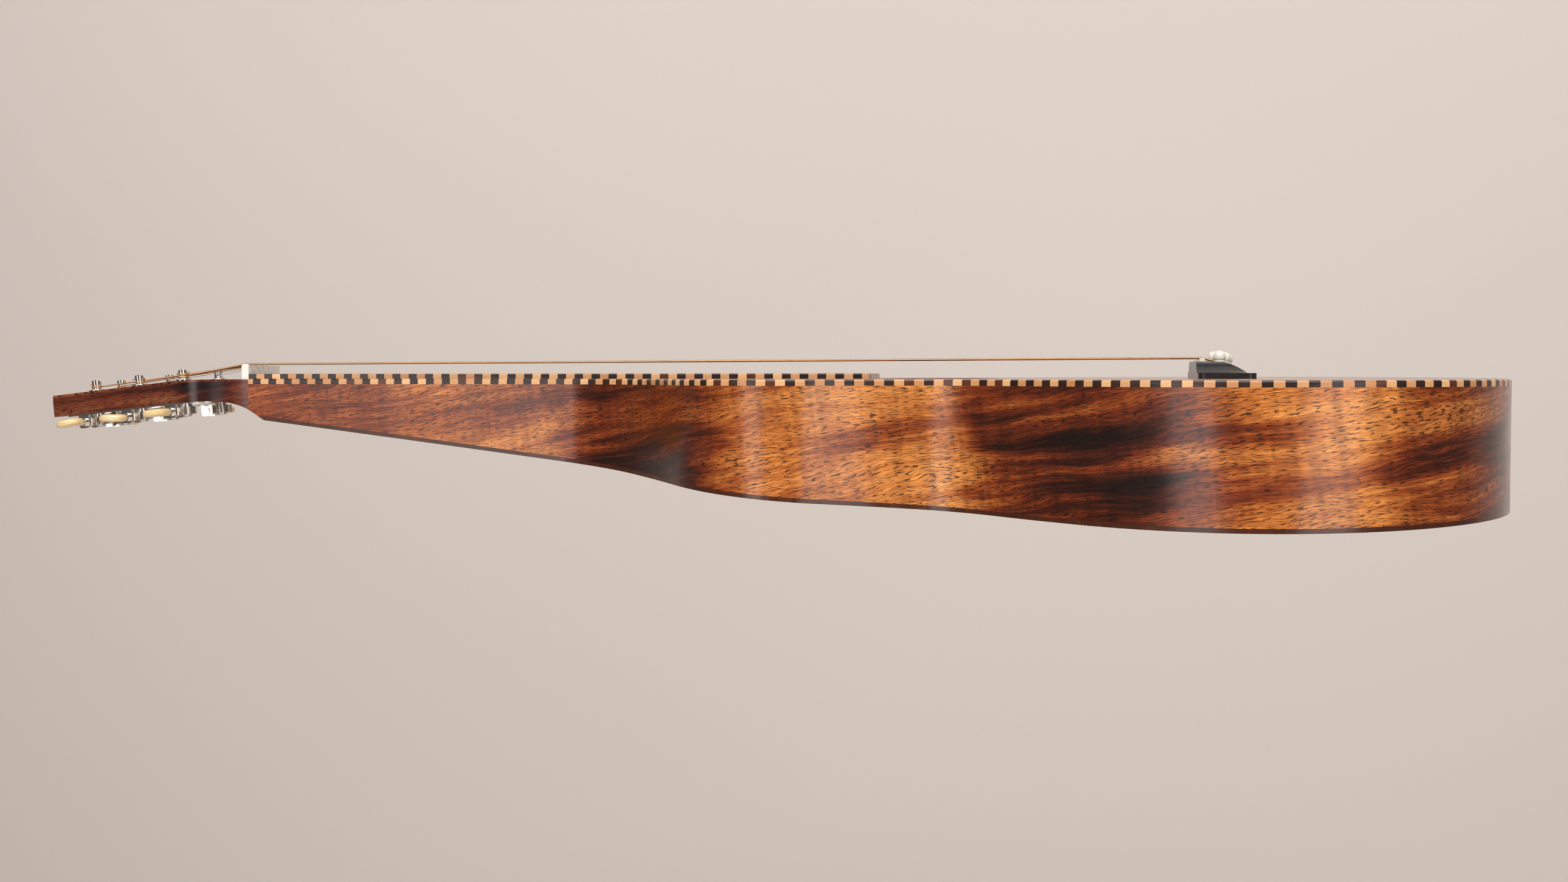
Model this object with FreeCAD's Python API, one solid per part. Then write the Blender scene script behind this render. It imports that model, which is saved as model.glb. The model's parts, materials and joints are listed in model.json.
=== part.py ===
# Six-string acoustic lap steel guitar with a hollow neck.
#
# Design axes, in millimetres: X runs from the nut (0) to the tail, Y across the body with the
# treble side positive, and Z up from the soundboard's surface (0).  place() moves every piece
# into the row frame, whose origin is the bottom centre of the whole object.

import FreeCAD, Part
import math
import os

V = FreeCAD.Vector
UP = V(0, 0, 1)

# ---- strings and scale ----
scale_length = 635.0
fret_count = 19
string_diameters = [1.42, 1.14, 0.90, 0.66, 0.43, 0.38]      # sixth (bass) to first (treble)
wound_count = 4
nut_spread = 42.0
saddle_spread = 57.0
nut_string_z = 10.1
saddle_string_z = 12.6

# ---- body outline: half width at the nut, then tangent arcs of radius and turn ----
neck_half_width = 24.3
neck_heading = 2.35
neck_extension = 6.0
outline_arcs = [(4650, 2.84), (88, 38.6), (338, 9.3), (123, -15.6), (71, -59.7), (175, 15.8),
                (71, 45.6), (2320, -1.6), (208, -19.6), (131, -58.6), (146, -37.4)]

# ---- body depth ----
heel_x = 11.0
heel_depth = 28.2
heel_curve_radius = 50.0
heel_slope = 34.0
back_slope = 6.77
back_low_x = 605.0
back_low_depth = 78.8
tail_end_rise_radius = 4000.0

# ---- plates, sides, linings ----
top_thickness = 2.8
back_thickness = 2.6
side_thickness = 2.6
binding_height = 3.6
lining_width = 6.0
lining_height = 12.0
neck_block_length = 45.0
tail_block_length = 14.0
tail_block_width = 70.0

# ---- soundhole and rosette ----
hole_x = 469.5
hole_radius = 39.5
rosette_inner = 42.0
rosette_width = 5.8
rosette_depth = 1.2

# ---- fretboard ----
board_length = 428.5
board_half_width = 23.5
board_taper = 0.0079
board_thickness = 3.3
board_binding = 2.4
fret_width = 1.0
fret_depth = 1.6
marker_radius = 3.1
marker_depth = 1.0
marker_frets = {3: 1, 5: 1, 7: 1, 9: 1, 12: 2, 15: 1, 17: 1}

# ---- nut, bridge, saddle and pins ----
nut_length = 5.0
nut_width = 47.0
bridge_front_x = 630.8
bridge_length = 34.2
bridge_half_width = 70.0
bridge_block_half = 58.0
bridge_slab = 3.4
bridge_height = 10.5
bridge_scoop_radius = 14.0
saddle_front_x = 633.2
saddle_thickness = 3.2
saddle_half_length = 38.0
saddle_slot_depth = 6.5
pin_row_x = 651.4
pin_row_bow = 5.8
pin_head_radius = 4.0
pin_shaft_radius = 2.4
pin_hole_radius = 2.7
pin_length = 22.0
pin_collar_radius = 3.4
pin_collar_height = 1.5
pin_seat_gap = 0.15
pin_flute_half = 0.95
string_drop_offset = 1.9
ball_radius = 2.0
ball_length = 3.4

# ---- braces ----
brace_width = 8.0
brace_height = 13.0
x_brace_centre = 545.0
cross_brace_stations = [118.0, 212.0, 306.0, 408.0]
back_brace_stations = [150.0, 300.0, 400.0, 500.0, 610.0, 720.0]
bridge_plate_x = (616.0, 680.0)
bridge_plate_half = 62.0
bridge_plate_thickness = 2.6

# ---- headstock ----
head_length = 148.1
head_tip_half = 22.8
head_wide_half = 34.6
head_wide_x = -43.0
head_face_z = -0.4
head_pivot_x = -40.0
head_tilt = 6.1
head_thickness = 14.9
head_bend_radius = 300.0
head_corner_radius = 1.2
veneer_thickness = 1.6

# ---- tuning machines, in the tilted head frame: z = 0 is the head's face ----
post_first = -7.4
post_spacing = 35.3
post_half_spread = [24.8, 20.5, 16.2]
row_angle = 6.97
post_radius = 3.0
post_height = 7.6
bushing_radius = 4.6
bushing_flange_radius = 5.4
bushing_flange = 1.2
bushing_depth = 8.0
running_gap = 0.05
plate_thickness = 1.0
plate_width = 17.0
plate_nut_overhang = 15.5
plate_tip_overhang = 21.0
plate_corner_radius = 2.5
screw_radius = 1.1
screw_length = 9.0
screw_head_radius = 2.3
screw_head_height = 1.1
screw_rows = (-0.36, 0.5, 1.5, 2.36)          # along the plate, counted in machines
bracket_thickness = 1.2
bracket_size = 8.2
bracket_corner_radius = 1.8
bracket_offset = 6.1
gear_teeth = 14
gear_pitch_radius = 5.9
gear_thickness = 5.2
gear_hub_radius = 4.2
gear_screw_radius = 3.5
gear_screw_height = 1.5
tooth_height = 0.75
tooth_width = 0.85
worm_distance = 8.6
worm_depth = 5.8
worm_core_radius = 1.9
shaft_radius = 1.8
thread_turns = 3.0
thread_root_half = 0.62
thread_tip_half = 0.26
collar_radius = 3.0
collar_length = 1.6
ferrule_radius = 2.5
worm_end_gap = 0.15
button_reach = 21.2
button_width = 18.6
button_length = 15.0
button_thickness = 6.0
button_neck = 1.2
button_bore_depth = 6.0
button_neck_root = 2.8                                       # of the neck, inside the oval
post_chamfer = 0.45
waist_start = 0.3                                            # below the lowest coil
coil_first = 0.8                                             # string radii above winding_z
coil_pitch = 1.9                                             # string radii from coil to coil
gear_screw_fillet = 1.2
bushing_fillet = 0.5
post_end_radius = 2.4
post_waist = 0.35
string_hole_radius = 0.9
string_hole_z = 5.4
winding_z = 1.6
winding_coils = [2, 2, 3, 3, 4, 4]                           # sixth to first
clearance = 0.3
slot_half_width = 0.3
slot_depth = 0.6

treble, bass = 1, -1


def place(shape):
    """Move a shape from the design axes into the row frame."""
    moved = shape.copy()
    moved.translate(V(-middle_x, 0, back_low_depth))
    return moved


def save(name, *shapes):
    """Write one node; several shapes become a group of separate solids."""
    solids = [solid for shape in shapes for solid in shape.Solids]
    node = place(solids[0] if len(solids) == 1 else Part.makeCompound(solids))
    node.exportStep("parts/%s.step" % name)
    box = node.BoundBox
    print("%-24s solids %3d  x %8.1f %8.1f  y %7.1f %7.1f  z %6.1f %6.1f" % (
        name, len(solids), box.XMin, box.XMax, box.YMin, box.YMax, box.ZMin, box.ZMax))


def box(x_range, y_range, z_range):
    size = V(x_range[1] - x_range[0], y_range[1] - y_range[0], z_range[1] - z_range[0])
    return Part.makeBox(size.x, size.y, size.z, V(x_range[0], y_range[0], z_range[0]))


def arc(start, middle, end):
    return Part.Arc(start, middle, end).toShape()


def line(start, end):
    return Part.LineSegment(start, end).toShape()


# ---------------------------------------------------------------- body outline

def half_outline(inset):
    """Edges of the treble half of the outline, set in from the sides, from nut end to tail."""
    heading = math.radians(neck_heading)
    back_up = V(-math.cos(heading), -math.sin(heading), 0) * neck_extension
    inward = V(math.sin(heading), -math.cos(heading), 0)
    start = V(0, neck_half_width, 0) + inward * inset
    point = start + back_up
    edges = [line(point, start)]
    point = start
    true_y = neck_half_width
    for radius, turn in outline_arcs:
        side = 1 if turn > 0 else -1
        to_centre = V(-math.sin(heading), math.cos(heading), 0) * side
        centre = point + to_centre * (radius + side * inset)
        sweep = math.radians(turn)
        ends = [swing(centre, point, sweep * part) for part in (0.5, 1.0)]
        edges.append(arc(point, ends[0], ends[1]))
        true_y += radius * side * (math.cos(heading) - math.cos(heading + sweep))
        point = ends[1]
        heading += sweep
    tail_radius = true_y / math.cos(heading) - inset
    centre = point + V(math.sin(heading), -math.cos(heading), 0) * tail_radius
    end = centre + V(tail_radius, 0, 0)
    middle = swing(centre, point, (-math.pi / 2 - heading) / 2)
    edges.append(arc(point, middle, end))
    return edges, end.x


def swing(centre, point, angle):
    """Turn a point about a vertical axis through centre."""
    arm = point - centre
    cosine, sine = math.cos(angle), math.sin(angle)
    return centre + V(arm.x * cosine - arm.y * sine, arm.x * sine + arm.y * cosine, 0)


def outline_solid(inset, low=-100.0, high=0.0):
    """Prism over the outline, from the nut's plane to the tail."""
    half, end_x = half_outline(inset)
    other = [edge.mirror(V(0, 0, 0), V(0, 1, 0)) for edge in half]
    corner = half[0].Vertexes[0].Point
    closing = line(V(corner.x, -corner.y, 0), corner)
    wire = Part.Wire(Part.__sortEdges__(half + other + [closing]))
    prism = Part.Face(wire).extrude(V(0, 0, high - low))
    prism.translate(V(0, 0, low))
    return prism.common(box((0, 900), (-300, 300), (low - 1, high + 1)))


tail_x = half_outline(0)[1]
middle_x = (tail_x - head_length) / 2.0


# ---------------------------------------------------------------- side profiles

def profile_solid(edges):
    """Extrude a closed XZ profile right across the body."""
    face = Part.Face(Part.Wire(Part.__sortEdges__(edges)))
    face.translate(V(0, -300, 0))
    return face.extrude(V(0, 600, 0))


def back_curve(lift):
    """Edges of the back's lengthwise curve, raised by lift, from the heel to the tail."""
    slope = math.radians(back_slope)
    drop = back_low_depth - heel_depth
    radius = (math.tan(slope) * (back_low_x - heel_x) - drop) / (1 / math.cos(slope) - 1)
    centre = V(back_low_x, 0, -back_low_depth + radius + lift)
    turn_in = centre + V(-math.sin(slope), 0, -math.cos(slope)) * radius
    bend = centre + V(-math.sin(slope / 2), 0, -math.cos(slope / 2)) * radius
    low = centre - V(0, 0, radius)
    heel = V(heel_x, 0, -heel_depth + lift)
    far = tail_x + 20.0
    rise = [V(x, 0, low.z + (x - back_low_x) ** 2 / (2 * tail_end_rise_radius))
            for x in ((back_low_x + far) / 2, far)]
    return [line(heel, turn_in), arc(turn_in, bend, low), arc(low, rise[0], rise[1])], heel, rise[1]


def below_back(lift):
    """Everything under the raised back curve."""
    edges, heel, far = back_curve(lift)
    deep = -150.0
    heel_low, far_low = V(heel.x, 0, deep), V(far.x, 0, deep)
    return profile_solid(edges + [line(far, far_low), line(far_low, heel_low), line(heel_low, heel)])


def heel_curve():
    """Underside from the head's level stretch down to the heel's corner."""
    slope = math.radians(heel_slope)
    level = head_face_z - head_thickness
    sink = heel_curve_radius * (1 - math.cos(slope))
    corner = V(heel_x, 0, -heel_depth)
    arc_end = V(heel_x - (heel_depth + level - sink) / math.tan(slope), 0, level - sink)
    centre = V(arc_end.x - heel_curve_radius * math.sin(slope), 0, level - heel_curve_radius)
    top = centre + V(0, 0, heel_curve_radius)
    middle = centre + V(math.sin(slope / 2), 0, math.cos(slope / 2)) * heel_curve_radius
    return top, [arc(top, middle, arc_end), line(arc_end, corner)], corner


def body_envelope(top_z):
    """Space between a level top and the outer underside."""
    edges, heel, far = back_curve(0)
    top, curve, corner = heel_curve()
    start_top, end_top = V(top.x, 0, top_z), V(far.x, 0, top_z)
    return profile_solid(edges + curve + [line(top, start_top), line(start_top, end_top),
                                          line(end_top, far)])


outer = outline_solid(0)
inner = outline_solid(side_thickness)
lined = outline_solid(side_thickness + lining_width)
half_spaces = {bass: box((-300, 900), (-300, 0), (-200, 100)),
               treble: box((-300, 900), (0, 300), (-200, 100))}


def slab(bottom, top):
    return box((0, 900), (-300, 300), (bottom, top))


def pin_centres():
    """Bridge pin positions, bowed towards the tail in the middle."""
    centres = []
    for index in range(6):
        y = saddle_spread * (index / 5.0 - 0.5)
        centres.append(V(pin_row_x - pin_row_bow * (2 * y / saddle_spread) ** 2, y, 0))
    return centres


def pin_holes(bottom, top):
    return [Part.makeCylinder(pin_hole_radius, top - bottom, V(c.x, c.y, bottom)) for c in pin_centres()]


def upright(radius, bottom, top, x=0.0, y=0.0):
    return Part.makeCylinder(radius, top - bottom, V(x, y, bottom))


def build_body():
    back = outer.common(below_back(back_thickness)).common(body_envelope(0))
    inside = inner.common(body_envelope(-top_thickness)).cut(below_back(back_thickness))
    ring = outer.cut(inner)
    sides = ring.common(body_envelope(-binding_height)).cut(below_back(back_thickness))
    soundboard = inner.common(slab(-top_thickness, 0))
    rosette = upright(rosette_inner + rosette_width, -rosette_depth, 0, hole_x).cut(
        upright(rosette_inner, -rosette_depth, 0, hole_x))
    soundboard = soundboard.cut([upright(hole_radius, -10, 10, hole_x), rosette]
                                + pin_holes(-top_thickness - 1, 1))
    neck_block = inside.common(box((0, neck_block_length), (-100, 100), (-100, 0)))
    tail_block = inside.common(box((tail_x - side_thickness - tail_block_length, tail_x),
                                   (-tail_block_width / 2, tail_block_width / 2), (-100, 0)))
    wall_ring = inside.cut([lined, neck_block, tail_block])
    top_linings = wall_ring.common(slab(-top_thickness - lining_height, 0))
    back_linings = wall_ring.common(below_back(back_thickness + lining_height))
    save("soundboard", soundboard)
    save("rosette", rosette)
    save("back", back)
    save("body_binding", ring.common(slab(-binding_height, 0)))
    save("bass_side", sides.common(half_spaces[bass]))
    save("treble_side", sides.common(half_spaces[treble]))
    save("neck_block", neck_block)
    save("tail_block", tail_block)
    save("top_linings", *[top_linings.common(half_spaces[side]) for side in (bass, treble)])
    save("back_linings", *[back_linings.common(half_spaces[side]) for side in (bass, treble)])
    return inside.common(lined)


def build_braces(cavity):
    top_z = -top_thickness
    bottom_z = top_z - brace_height
    half = brace_width / 2
    bars = []
    for angle in (45, -45):
        bar = box((-400, 400), (-half, half), (bottom_z, top_z))
        bar.rotate(V(0, 0, 0), UP, angle)
        bar.translate(V(x_brace_centre, 0, 0))
        bars.append(bar.common(cavity))
    crossing = bars[0].common(bars[1])
    middle_z = (top_z + bottom_z) / 2
    bars[0] = bars[0].cut(crossing.common(slab(bottom_z, middle_z)))
    bars[1] = bars[1].cut(crossing.common(slab(middle_z, top_z)))
    save("x_braces", *bars)
    cross = [box((x - half, x + half), (-300, 300), (bottom_z, top_z)).common(cavity).cut(bars)
             for x in cross_brace_stations]
    save("cross_braces", *cross)
    plate = box(bridge_plate_x, (-bridge_plate_half, bridge_plate_half),
                (top_z - bridge_plate_thickness, top_z))
    save("bridge_plate", plate.cut(pin_holes(-20, 0)))
    band = cavity.common(below_back(back_thickness + brace_height))
    save("back_braces", *[band.common(box((x - half, x + half), (-300, 300), (-100, 0)))
                          for x in back_brace_stations])


# ---------------------------------------------------------------- fretboard

def board_prism(inset, bottom, top, end_radius):
    """Tapered board plan, set in from its two long sides and its soundhole end."""
    end = board_length - inset
    start_half = board_half_width - inset
    end_half = board_half_width + board_taper * end - inset
    points = [V(0, -start_half, bottom), V(end, -end_half, bottom),
              V(end, end_half, bottom), V(0, start_half, bottom)]
    prism = Part.Face(Part.makePolygon(points + points[:1])).extrude(V(0, 0, top - bottom))
    upright_edges = [edge for edge in prism.Edges
                     if edge.Length < (top - bottom) * 1.01 and edge.Vertexes[0].X > end - 1]
    return prism.makeFillet(end_radius, upright_edges)


def fret_x(number):
    return scale_length * (1 - 2 ** (-number / 12.0))


def build_fretboard():
    edge_radius = 3.4
    whole = board_prism(0, 0, board_thickness, edge_radius)
    core = board_prism(board_binding, 0, board_thickness, edge_radius - board_binding)
    frets = [box((fret_x(n) - fret_width / 2, fret_x(n) + fret_width / 2), (-40, 40),
                 (board_thickness - fret_depth, board_thickness)).common(core)
             for n in range(1, fret_count + 1)]
    markers = []
    for number, dots in marker_frets.items():
        x = (fret_x(number - 1) + fret_x(number)) / 2
        for y in ([0.0] if dots == 1 else [-10.5, 10.5]):
            markers.append(upright(marker_radius, board_thickness - marker_depth, board_thickness, x, y))
    save("fretboard", core.cut(frets + markers))
    save("fretboard_binding", whole.cut(core))
    save("frets", *frets)
    save("position_markers", *markers)


# ---------------------------------------------------------------- headstock

def head_point(x, z):
    """World point of a point in the tilted head frame, on the centre line."""
    tilt = math.radians(head_tilt)
    return V(head_pivot_x + x * math.cos(tilt) - z * math.sin(tilt), 0,
             head_face_z + x * math.sin(tilt) + z * math.cos(tilt))


def head_bend(depth, radius):
    """Arc where the level neck turns into the tilted head, at a depth below the face."""
    tilt = math.radians(head_tilt)
    start = V(head_pivot_x + (radius + depth) * math.tan(tilt / 2), 0, head_face_z - depth)
    centre = start - V(0, 0, radius)
    middle = centre + V(-math.sin(tilt / 2), 0, math.cos(tilt / 2)) * radius
    end = centre + V(-math.sin(tilt), 0, math.cos(tilt)) * radius
    return start, middle, end


def head_prism(skin):
    """Head from its underside up to skin below the face."""
    tilt = math.radians(head_tilt)
    tip = (head_pivot_x + head_length) / math.cos(tilt)

    top = head_bend(skin, head_bend_radius)
    low = head_bend(head_thickness, head_bend_radius - head_thickness)
    tip_top, tip_low = head_point(-tip, -skin), head_point(-tip, -head_thickness)
    under, curve, corner = heel_curve()
    edges = [line(V(30, 0, top[0].z), top[0]), arc(*top), line(top[2], tip_top), line(tip_top, tip_low),
             line(tip_low, low[2]), arc(low[2], low[1], low[0])]
    if abs(low[0].x - under.x) > 1e-6:
        edges.append(line(low[0], under))
    edges += curve + [line(corner, V(30, 0, corner.z)), line(V(30, 0, corner.z), V(30, 0, top[0].z))]
    return profile_solid(edges)


def head_plan():
    """Plan of the head: flares from the nut, is widest by the first posts and tapers to the tip."""
    tip_x = -head_length
    taper = math.atan((head_wide_half - head_tip_half) / (head_wide_x - tip_x))
    flare_end = V(head_wide_x, head_wide_half, 0)
    flare_start = V(0, neck_half_width, 0)
    curve = Part.BezierCurve()
    curve.setPoles([flare_start, V(head_wide_x * 0.5, neck_half_width + 0.6, 0),
                    V(head_wide_x * 0.5, head_wide_half + 3.0 * math.tan(taper) + 2.6, 0), flare_end])
    half = [curve.toShape(), line(flare_end, V(tip_x, head_tip_half, 0))]
    other = [edge.mirror(V(0, 0, 0), V(0, 1, 0)) for edge in half]
    tip = line(V(tip_x, head_tip_half, 0), V(tip_x, -head_tip_half, 0))
    base = line(flare_start, V(0, -neck_half_width, 0))
    wire = Part.Wire(Part.__sortEdges__(half + other + [tip, base]))
    prism = Part.Face(wire).extrude(V(0, 0, 80))
    prism.translate(V(0, 0, -60))
    corners = [edge for edge in prism.Edges if len(edge.Vertexes) == 2 and edge.Length > 79
               and edge.Vertexes[0].X < tip_x + 1]
    return prism.makeFillet(head_corner_radius, corners)


def on_head(shape, row=0, side=0):
    """Put a shape made at a post's foot on the head's face; side 0 leaves it on the centre line."""
    moved = shape.copy()
    if side:
        moved.rotate(V(0, 0, 0), UP, side * row_angle)
        moved.translate(V(post_first - post_spacing * row, side * post_half_spread[row], 0))
    moved.rotate(V(0, 0, 0), V(0, 1, 0), -head_tilt)
    moved.translate(V(head_pivot_x, 0, head_face_z))
    return moved


posts = [(row, side) for side, rows in ((bass, (0, 1, 2)), (treble, (2, 1, 0))) for row in rows]


def build_head():
    plan = head_plan()
    cutters = []
    for row, side in posts:
        hole = upright(bushing_radius, -bushing_depth, 5).fuse(upright(post_radius + 0.4, -30, 0))
        cutters.append(on_head(hole, row, side))
    core = plan.common(head_prism(veneer_thickness))
    veneer = plan.common(head_prism(0)).cut(head_prism(veneer_thickness))
    screws = plate_screws()
    seats = [on_head(plate_strip(), 0, side) for side in (bass, treble)]
    head = core.cut(cutters + screws + seats)
    save("headstock", head)
    save("head_veneer", veneer.cut(cutters))
    save("plate_screws", *screws)


# ---------------------------------------------------------------- tuning machines

plate_top = -head_thickness
plate_bottom = plate_top - plate_thickness
worm_z = plate_top - worm_depth
worm_pitch = 2 * math.pi * gear_pitch_radius / gear_teeth
worm_pitch_radius = worm_distance - gear_pitch_radius
machine_spacing = post_spacing / math.cos(math.radians(row_angle))


def plate_screw_spots(side):
    """Screw positions along one plate, in the head frame: between the machines and at both ends."""
    spots = []
    for row in screw_rows:
        along = post_first - post_spacing * row
        across = post_half_spread[0] - (post_half_spread[0] - post_half_spread[2]) * row / 2
        spots.append(V(along, side * across, 0))
    return spots


def plate_screws():
    """Slotted round-head wood screws that hold both plates."""
    head_low = plate_bottom - screw_head_height
    head = Part.makeCone(screw_radius - 0.2, screw_head_radius, screw_head_height, V(0, 0, head_low))
    shank = upright(screw_radius, plate_bottom, plate_top + screw_length)
    slot = box((-3, 3), (-slot_half_width, slot_half_width), (head_low - 1, head_low + slot_depth))
    model = shank.fuse(head).removeSplitter().cut(slot)
    screws = []
    for side in (bass, treble):
        for spot in plate_screw_spots(side):
            screw = model.copy()
            screw.translate(spot)
            screws.append(on_head(screw))
    return screws


def plate_strip():
    """Blank of a tuner plate, from its nut end to its tip end."""
    half = plate_width / 2
    tip_end = -2 * machine_spacing - plate_tip_overhang
    strip = box((tip_end, plate_nut_overhang), (-half, half), (plate_bottom, plate_top))
    corners = [edge for edge in strip.Edges if abs(edge.Length - plate_thickness) < 1e-6]
    return strip.makeFillet(plate_corner_radius, corners)


def build_plate(side):
    """Plate with a pair of bearing brackets for each of its three machines."""
    strip = plate_strip()
    for row in range(3):
        along = -row * machine_spacing
        for offset in (-bracket_offset, bracket_offset):
            strip = strip.fuse(bracket(V(along - worm_distance, offset, 0)))
        strip = strip.cut(upright(post_radius + running_gap, plate_bottom - 1, plate_top + 1, along))
    plate = on_head(strip, 0, side)
    holes = []
    for spot in plate_screw_spots(side):
        hole = upright(screw_radius, plate_bottom - 1, plate_top + 1)
        hole.translate(spot)
        holes.append(on_head(hole))
    return plate.cut(holes)


def bracket(centre):
    """Upright bearing plate for a worm shaft, with rounded corners and a bore."""
    low = worm_z - bracket_size / 2
    half = bracket_size / 2
    block = box((-half, half), (-bracket_thickness / 2, bracket_thickness / 2), (low, plate_top))
    rounded = [edge for edge in block.Edges
               if abs(edge.Length - bracket_thickness) < 1e-6 and edge.BoundBox.ZMax < low + 0.1]
    block = block.makeFillet(bracket_corner_radius, rounded)
    bore = Part.makeCylinder(shaft_radius + running_gap, 10, V(0, -5, worm_z), V(0, 1, 0))
    block = block.common(box((-20, 20), (-20, 20), (low - 1, plate_bottom + 0.2))).cut(bore)
    block.translate(centre)
    return block


def make_gear():
    """Worm wheel with straight teeth; a tooth points at the worm."""
    root = gear_pitch_radius - tooth_height
    disc = upright(root, worm_z - gear_thickness / 2, worm_z + gear_thickness / 2)
    hub = upright(gear_hub_radius, worm_z + gear_thickness / 2, plate_bottom - clearance)
    gear = disc.fuse(hub)
    outer_half = tooth_width * 0.32
    for number in range(gear_teeth):
        tip = gear_pitch_radius + tooth_height
        points = [V(-root + 0.5, -tooth_width * 0.75, 0), V(-tip, -outer_half, 0),
                  V(-tip, outer_half, 0), V(-root + 0.5, tooth_width * 0.75, 0)]
        tooth = Part.Face(Part.makePolygon(points + points[:1])).extrude(V(0, 0, gear_thickness))
        tooth.translate(V(0, 0, worm_z - gear_thickness / 2))
        tooth.rotate(V(0, 0, 0), UP, number * 360.0 / gear_teeth)
        gear = gear.fuse(tooth)
    return gear.removeSplitter().cut(upright(post_end_radius, worm_z - 10, plate_bottom + 1))


def make_worm(side):
    """Worm, its shaft and the collar that the button is set on."""
    inner_half = bracket_offset - bracket_thickness / 2 - worm_end_gap
    along = V(0, 1, 0)
    axis = V(-worm_distance, 0, worm_z)
    core = Part.makeCylinder(worm_core_radius, 2 * inner_half, axis - along * inner_half, along)
    far = bracket_offset + bracket_thickness / 2 + 0.8
    button_start = button_reach - button_length / 2 - button_neck
    reach = button_start + button_bore_depth - 1.0
    shaft_start = axis - along * far * side
    shaft = Part.makeCylinder(shaft_radius, far + reach, shaft_start, along * side)
    collar_at = bracket_offset + bracket_thickness / 2 + worm_end_gap
    collar = Part.makeCylinder(collar_radius, collar_length, axis + along * collar_at * side, along * side)
    ferrule_at = collar_at + collar_length + 1.0
    ferrule = Part.makeCylinder(ferrule_radius, button_start - ferrule_at,
                                axis + along * ferrule_at * side, along * side)
    worm = core.fuse([shaft, collar, ferrule])
    return worm.fuse(make_thread(axis)).removeSplitter()


def make_thread(axis):
    """Right-handed single-start thread, with a gap facing the gear's tooth at rest."""
    length = thread_turns * worm_pitch
    helix = Part.makeHelix(worm_pitch, length, worm_core_radius)
    low, high = worm_core_radius - 0.25, worm_pitch_radius + tooth_height * 0.8
    points = [V(low, 0, -thread_root_half), V(high, 0, -thread_tip_half),
              V(high, 0, thread_tip_half), V(low, 0, thread_root_half)]
    profile = Part.makePolygon(points + points[:1])
    thread = Part.Wire(helix.Edges).makePipeShell([profile], True, True)
    thread.translate(V(0, 0, -length / 2))
    # the helix starts on its +X side; its axis is laid along +Y with +X still facing the post
    thread.rotate(V(0, 0, 0), V(1, 0, 0), -90)
    thread.translate(axis)
    return thread


def make_button(side, turn):
    """Oval button: a flattened ellipsoid on a short neck."""
    stretch = FreeCAD.Matrix()
    stretch.scale(button_width / 2, button_length / 2, button_thickness / 2)
    blank = Part.makeSphere(1.0).transformGeometry(stretch)
    start = V(0, -button_length / 2 - button_neck, 0)
    neck = Part.makeCone(ferrule_radius, ferrule_radius + 0.2, button_neck + button_neck_root, start, V(0, 1, 0))
    bore = Part.makeCylinder(shaft_radius, button_bore_depth, start, V(0, 1, 0))
    button = blank.fuse(neck).removeSplitter().cut(bore)
    if side == bass:
        button.rotate(V(0, 0, 0), UP, 180)
    button.rotate(V(0, 0, 0), V(0, 1, 0), turn)
    button.translate(V(-worm_distance, side * button_reach, worm_z))
    return button


def make_post():
    """Post with a string hole, a rounded top, a waist for the coils and a foot that takes the gear."""
    shank = upright(post_radius, plate_bottom - clearance, post_height)
    top_edges = [edge for edge in shank.Edges if edge.BoundBox.ZMin > post_height - 0.01]
    shank = shank.makeChamfer(post_chamfer, top_edges)
    foot = upright(post_end_radius, worm_z - gear_thickness / 2, plate_bottom)
    hole = Part.makeCylinder(string_hole_radius, 10, V(-5, 0, string_hole_z), V(1, 0, 0))
    waist = upright(post_radius + 1, winding_z - waist_start, string_hole_z - string_hole_radius - 0.2).cut(
        upright(post_radius - post_waist, 0, post_height))
    return shank.fuse(foot).removeSplitter().cut(hole).cut(waist)


def make_gear_screw():
    """Domed, slotted screw that holds a gear on its post."""
    head_top = worm_z - gear_thickness / 2
    head_low = head_top - gear_screw_height
    head = upright(gear_screw_radius, head_low, head_top)
    rim = [edge for edge in head.Edges if edge.BoundBox.ZMax < head_low + 0.01]
    head = head.makeFillet(gear_screw_fillet, rim)
    slot = box((-5, 5), (-slot_half_width, slot_half_width), (head_low - 1, head_low + slot_depth))
    return head.cut(slot)


def make_winding(string_radius, turns):
    """Coils of the string round its post, as a stack of rings that share one solid."""
    bore = post_radius - post_waist
    coils = []
    for turn in range(turns):
        z = winding_z + string_radius * (coil_first + coil_pitch * turn)
        coils.append(Part.makeTorus(bore + string_radius, string_radius, V(0, 0, z), UP))
    stack = coils[0].fuse(coils[1:])
    return stack.cut(upright(bore, -5, 20))


def make_bushing():
    sleeve = upright(bushing_radius, -bushing_depth, 0)
    flange = upright(bushing_flange_radius, 0, bushing_flange)
    flange = flange.makeFillet(bushing_fillet, [e for e in flange.Edges if e.BoundBox.ZMin > bushing_flange - 0.01])
    return sleeve.fuse(flange).removeSplitter().cut(upright(post_radius + running_gap, -20, 20))


def build_tuners():
    button_turns = [0, 6, -5, 12, -10, 4]
    for number, (row, side) in enumerate(posts):
        name = 6 - number
        radius = string_diameters[number] / 2
        save("post_%d" % name, on_head(make_post(), row, side))
        save("gear_%d" % name, on_head(make_gear(), row, side), on_head(make_gear_screw(), row, side))
        save("winding_%d" % name, on_head(make_winding(radius, winding_coils[number]), row, side))
        save("worm_%d" % name, on_head(make_worm(side), row, side))
        save("button_%d" % name, on_head(make_button(side, button_turns[number]), row, side))
    save("bass_tuner_plate", build_plate(bass))
    save("treble_tuner_plate", build_plate(treble))
    save("post_bushings", *[on_head(make_bushing(), row, side) for row, side in posts])


# ---------------------------------------------------------------- strings, nut, bridge

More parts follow.
